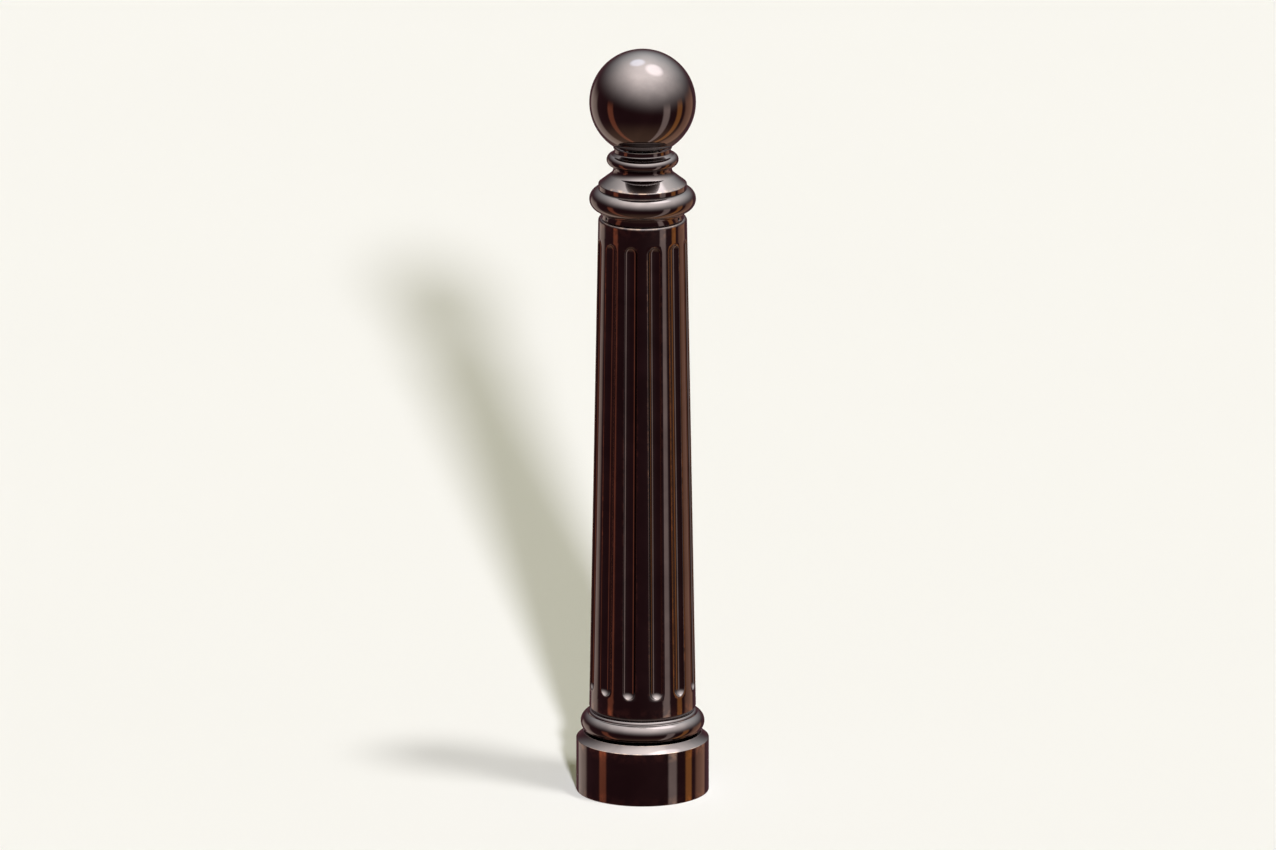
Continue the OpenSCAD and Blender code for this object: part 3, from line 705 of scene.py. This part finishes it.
def makeBall():
    form = ballForm
    bottom, height = foot("ball_shell"), top("ball_shell")
    radius = round(2 * halfWidth("ball_shell")) / 2
    centre = height - radius
    inside = radius - form["shell"]
    outerFoot = math.degrees(math.asin((bottom - centre) / radius))
    outer = arc(0, centre, radius, outerFoot, 90, form["outerSteps"])
    innerFoot = math.degrees(math.asin(-math.sqrt(1 - (form["plate"] / inside) ** 2)))
    inner = arc(0, centre, inside, 90, innerFoot, form["innerSteps"])
    # From the inner pole, round the foot, to the outer pole
    chain = inner + [(form["plate"], bottom, 0.0)] + outer
    mesh = turned("ballShell", chain, form["steps"], closed=False)
    return finished(mesh, "ballShell", "ball", "ball_shell", castBronze)


# The rubber washer under the ball

sealForm = dict(bore=18.0, boreRound=0.5, rimRound=0.7, steps=96)


def makeSeal():
    form = sealForm
    low, high, rim = foot("finial_seal"), top("finial_seal"), halfWidth("finial_seal")
    outline = roundOff([(form["bore"], low, form["boreRound"]), (rim, low, form["rimRound"]),
                        (rim, high, form["rimRound"]), (form["bore"], high, form["boreRound"])])
    mesh = turned("sealWasher", outline, form["steps"])
    return finished(mesh, "sealWasher", "seal", "finial_seal", rubber)


makePlinth()
makeBaseRing()
makeShaft()
makeCapital()
makeCollar()
makeBall()
makeSeal()
print("stage: castings made")


# The CAD nodes that keep their own shape

finishes = {
    "foot_plate": dippedZinc, "core_pipe": dippedZinc, "gussets": dippedZinc, "head_plate": dippedZinc,
    "weld_beads": weldMetal, "head_nut": platedNut,
    "lower_centring_ring": nylon, "upper_centring_ring": nylon,
    "ring_screws": stainless, "foot_screws": stainless, "foot_washers": stainless,
    "collar_screws": stainless, "grub_screws": blackOxide,
    "ball_boss": turnedSteel, "tie_rod": stainless, "lock_nut": stainless, "stop_nuts": stainless,
}
for node, material in finishes.items():
    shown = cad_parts[node]
    shown.data.materials.clear()
    shown.data.materials.append(material)
print("stage: finishes given to", len(finishes), "nodes")


# The studio: a pale floor, a low key light in front, a high side light and an even fill

studio = dict(
    floor="#f4f3f1", floorPatch="#f2f1ef", backdrop="#f9f6ef",
    patch=900.0,  # mm across a patch of the floor's second tone
    floorSize=60.0,  # metres
    floorRoughness=0.9, floorShine=0.1,
    # Bearing, height and spread in degrees, power in watts per square metre
    key=dict(across=6.7, up=20.6, spread=3.6, power=4.88, colour="#f6f5ff"),
    side=dict(across=60.0, up=71.0, spread=7.5, power=1.1, colour="#fffefb"),
    fill=0.205, fillColour="#fffbbd",
)


# The way to something, from its bearing from the front, towards the right, and its height, in degrees
def towards(across, up):
    a, e = math.radians(across), math.radians(up)
    return Vector((math.sin(a) * math.cos(e), -math.cos(a) * math.cos(e), math.sin(e)))


def makeFloor():
    bm = bmesh.new()
    bmesh.ops.create_grid(bm, x_segments=2, y_segments=2, size=studio["floorSize"] / 2)
    mesh = bpy.data.meshes.new("floor")
    bm.to_mesh(mesh)
    bm.free()
    floor = bpy.data.objects.new("floor", mesh)
    bpy.context.scene.collection.objects.link(floor)
    material, tree, where = surface("palePaintedFloor")  # matt paint, even enough to look plain
    patch = add(tree, "ShaderNodeTexNoise", None,
                {"Vector": where, "Scale": perMetre(studio["patch"]), "Detail": 3.0})
    colour = add(tree, "ShaderNodeMix", colourMix,
                 {0: patch.outputs["Fac"], 6: studio["floor"], 7: studio["floorPatch"]})
    shader = add(tree, "ShaderNodeBsdfPrincipled", None, {
        "Base Color": colour.outputs[2], "Roughness": studio["floorRoughness"],
        "Specular IOR Level": studio["floorShine"],
    })
    add(tree, "ShaderNodeOutputMaterial", None, {"Surface": shader.outputs["BSDF"]})
    mesh.materials.append(material)
    floor.visible_glossy = False  # the polish mirrors the room only


def makeSun(name, across, up, spread, power, colour):
    light = bpy.data.lights.new(name, "SUN")
    light.energy = power
    light.angle = math.radians(spread)
    light.color = fromHex(colour)[:3]
    lamp = bpy.data.objects.new(name, light)
    bpy.context.scene.collection.objects.link(lamp)
    lamp.rotation_mode = "QUATERNION"
    lamp.rotation_quaternion = towards(across, up).to_track_quat("Z", "Y")
    lamp.visible_glossy = False


# What the polish mirrors: a dim room with a bright ceiling, upright strip lights and two soft boxes
room = dict(
    walls="#57393f", ground="#a08472", groundBelow=-0.45,  # heights here run from -1 below to 1 overhead
    ceiling="#eef8fa", ceilingGlow=6.8, ceilingAcross=40.0, ceilingUp=78.0, ceilingFrom=-0.15,
    ceilingCurve=2.5,  # how fast the ceiling's glow falls away
    # Bearing and half width in degrees, colour, brightness
    strips=[(-132, 20, "#e2d4c6", 0.7), (-74, 9, "#e08a62", 0.9), (54, 10, "#e2dcd8", 1.1),
            (88, 9, "#e6a050", 1.1), (122, 20, "#d8a888", 0.7)],
    stripsFade=0.15,  # they fade out between this much below the horizon and as much above it
    # Bearing, height and half width in degrees, colour, brightness
    softBoxes=[(100, 70, 18, "#eef6ff", 4.0), (-160, 68, 13, "#c8e2ff", 3.0)],
    core=0.5,  # the evenly lit share of a strip's or a soft box's half width
)


def makeRoom():
    world = bpy.data.worlds.new("studioRoom")
    bpy.context.scene.world = world
    world.use_nodes = True
    tree = world.node_tree
    tree.nodes.clear()
    soft = {"interpolation_type": "SMOOTHSTEP"}
    dot, scale, plus = {"operation": "DOT_PRODUCT"}, {"operation": "SCALE"}, {"operation": "ADD"}
    way = add(tree, "ShaderNodeTexCoord").outputs["Generated"]
    rise = add(tree, "ShaderNodeSeparateXYZ", None, {"Vector": way}).outputs["Z"]
    flat = add(tree, "ShaderNodeVectorMath", {"operation": "MULTIPLY"}, {0: way, 1: (1, 1, 0)})
    level = add(tree, "ShaderNodeVectorMath", {"operation": "NORMALIZE"}, {0: flat.outputs["Vector"]})

    def lampGlow(facing, across, up, reach, colour, brightness):  # one soft-edged strip or soft box
        near = add(tree, "ShaderNodeVectorMath", dot, {0: facing, 1: towards(across, up)})
        inside = add(tree, "ShaderNodeMapRange", soft, {
            "Value": near.outputs["Value"], "From Min": math.cos(math.radians(reach)),
            "From Max": math.cos(math.radians(reach * room["core"])),
        })
        lit = [c * brightness for c in fromHex(colour)[:3]]
        glow = add(tree, "ShaderNodeVectorMath", scale, {0: lit, "Scale": inside.outputs["Result"]})
        return glow.outputs[0]

    down = add(tree, "ShaderNodeMapRange", soft,
               {"Value": rise, "From Min": room["groundBelow"], "From Max": -1.0})
    surround = add(tree, "ShaderNodeMix", colourMix,
                   {0: down.outputs["Result"], 6: room["walls"], 7: room["ground"]})

    overhead = add(tree, "ShaderNodeVectorMath", dot,
                   {0: way, 1: towards(room["ceilingAcross"], room["ceilingUp"])})
    upward = add(tree, "ShaderNodeMapRange", None,
                 {"Value": overhead.outputs["Value"], "From Min": room["ceilingFrom"], "From Max": 1.0})
    curved = add(tree, "ShaderNodeMath", {"operation": "POWER"},
                 {0: upward.outputs["Result"], 1: room["ceilingCurve"]})
    lit = [c * room["ceilingGlow"] for c in fromHex(room["ceiling"])[:3]]
    ceiling = add(tree, "ShaderNodeVectorMath", scale, {0: lit, "Scale": curved.outputs[0]})

    below = add(tree, "ShaderNodeMapRange", soft,
                {"Value": rise, "From Min": room["stripsFade"], "From Max": -room["stripsFade"]})
    strips = (0, 0, 0)
    for across, half, colour, brightness in room["strips"]:
        glow = lampGlow(level.outputs["Vector"], across, 0, half, colour, brightness)
        strips = add(tree, "ShaderNodeVectorMath", plus, {0: strips, 1: glow}).outputs[0]
    standing = add(tree, "ShaderNodeVectorMath", scale, {0: strips, "Scale": below.outputs["Result"]})

    mirrored = surround.outputs[2]
    glows = [ceiling.outputs[0], standing.outputs[0]] + [lampGlow(way, *box) for box in room["softBoxes"]]
    for glow in glows:
        mirrored = add(tree, "ShaderNodeVectorMath", plus, {0: mirrored, 1: glow}).outputs[0]

    polishSees = add(tree, "ShaderNodeBackground", None, {"Color": mirrored})
    fillLight = add(tree, "ShaderNodeBackground", None,
                    {"Color": studio["fillColour"], "Strength": studio["fill"]})
    backdrop = add(tree, "ShaderNodeBackground", None, {"Color": studio["backdrop"]})
    ray = add(tree, "ShaderNodeLightPath")
    lighting = add(tree, "ShaderNodeMixShader", None,
                   {0: ray.outputs["Is Glossy Ray"], 1: fillLight.outputs[0], 2: polishSees.outputs[0]})
    seen = add(tree, "ShaderNodeMixShader", None,
               {0: ray.outputs["Is Camera Ray"], 1: lighting.outputs[0], 2: backdrop.outputs[0]})
    add(tree, "ShaderNodeOutputWorld", None, {"Surface": seen.outputs[0]})


makeFloor()
makeSun("keyLight", **studio["key"])
makeSun("sideLight", **studio["side"])
makeRoom()
bpy.context.scene.view_settings.view_transform = "Standard"
print("stage: studio built")


# The camera: a long lens a little above the object

lens = dict(
    elevation=15.5,  # degrees
    distance=30.0, farthest=200.0, aim=(-0.006, 0.0, 0.4943),  # metres
    across=1.667,  # metres that the picture spans at the object
    sensor=36.0,  # mm
)

camera = bpy.data.objects.new("camera", bpy.data.cameras.new("camera"))
bpy.context.scene.collection.objects.link(camera)
tilt = math.radians(lens["elevation"])
back = Vector((0, -math.cos(tilt), math.sin(tilt)))
camera.location = Vector(lens["aim"]) + back * lens["distance"]
camera.rotation_euler = back.to_track_quat("Z", "Y").to_euler()
camera.data.sensor_width = lens["sensor"]
camera.data.lens = lens["sensor"] * lens["distance"] / lens["across"]
camera.data.clip_end = lens["farthest"]
bpy.context.scene.camera = camera
print("stage: camera set")
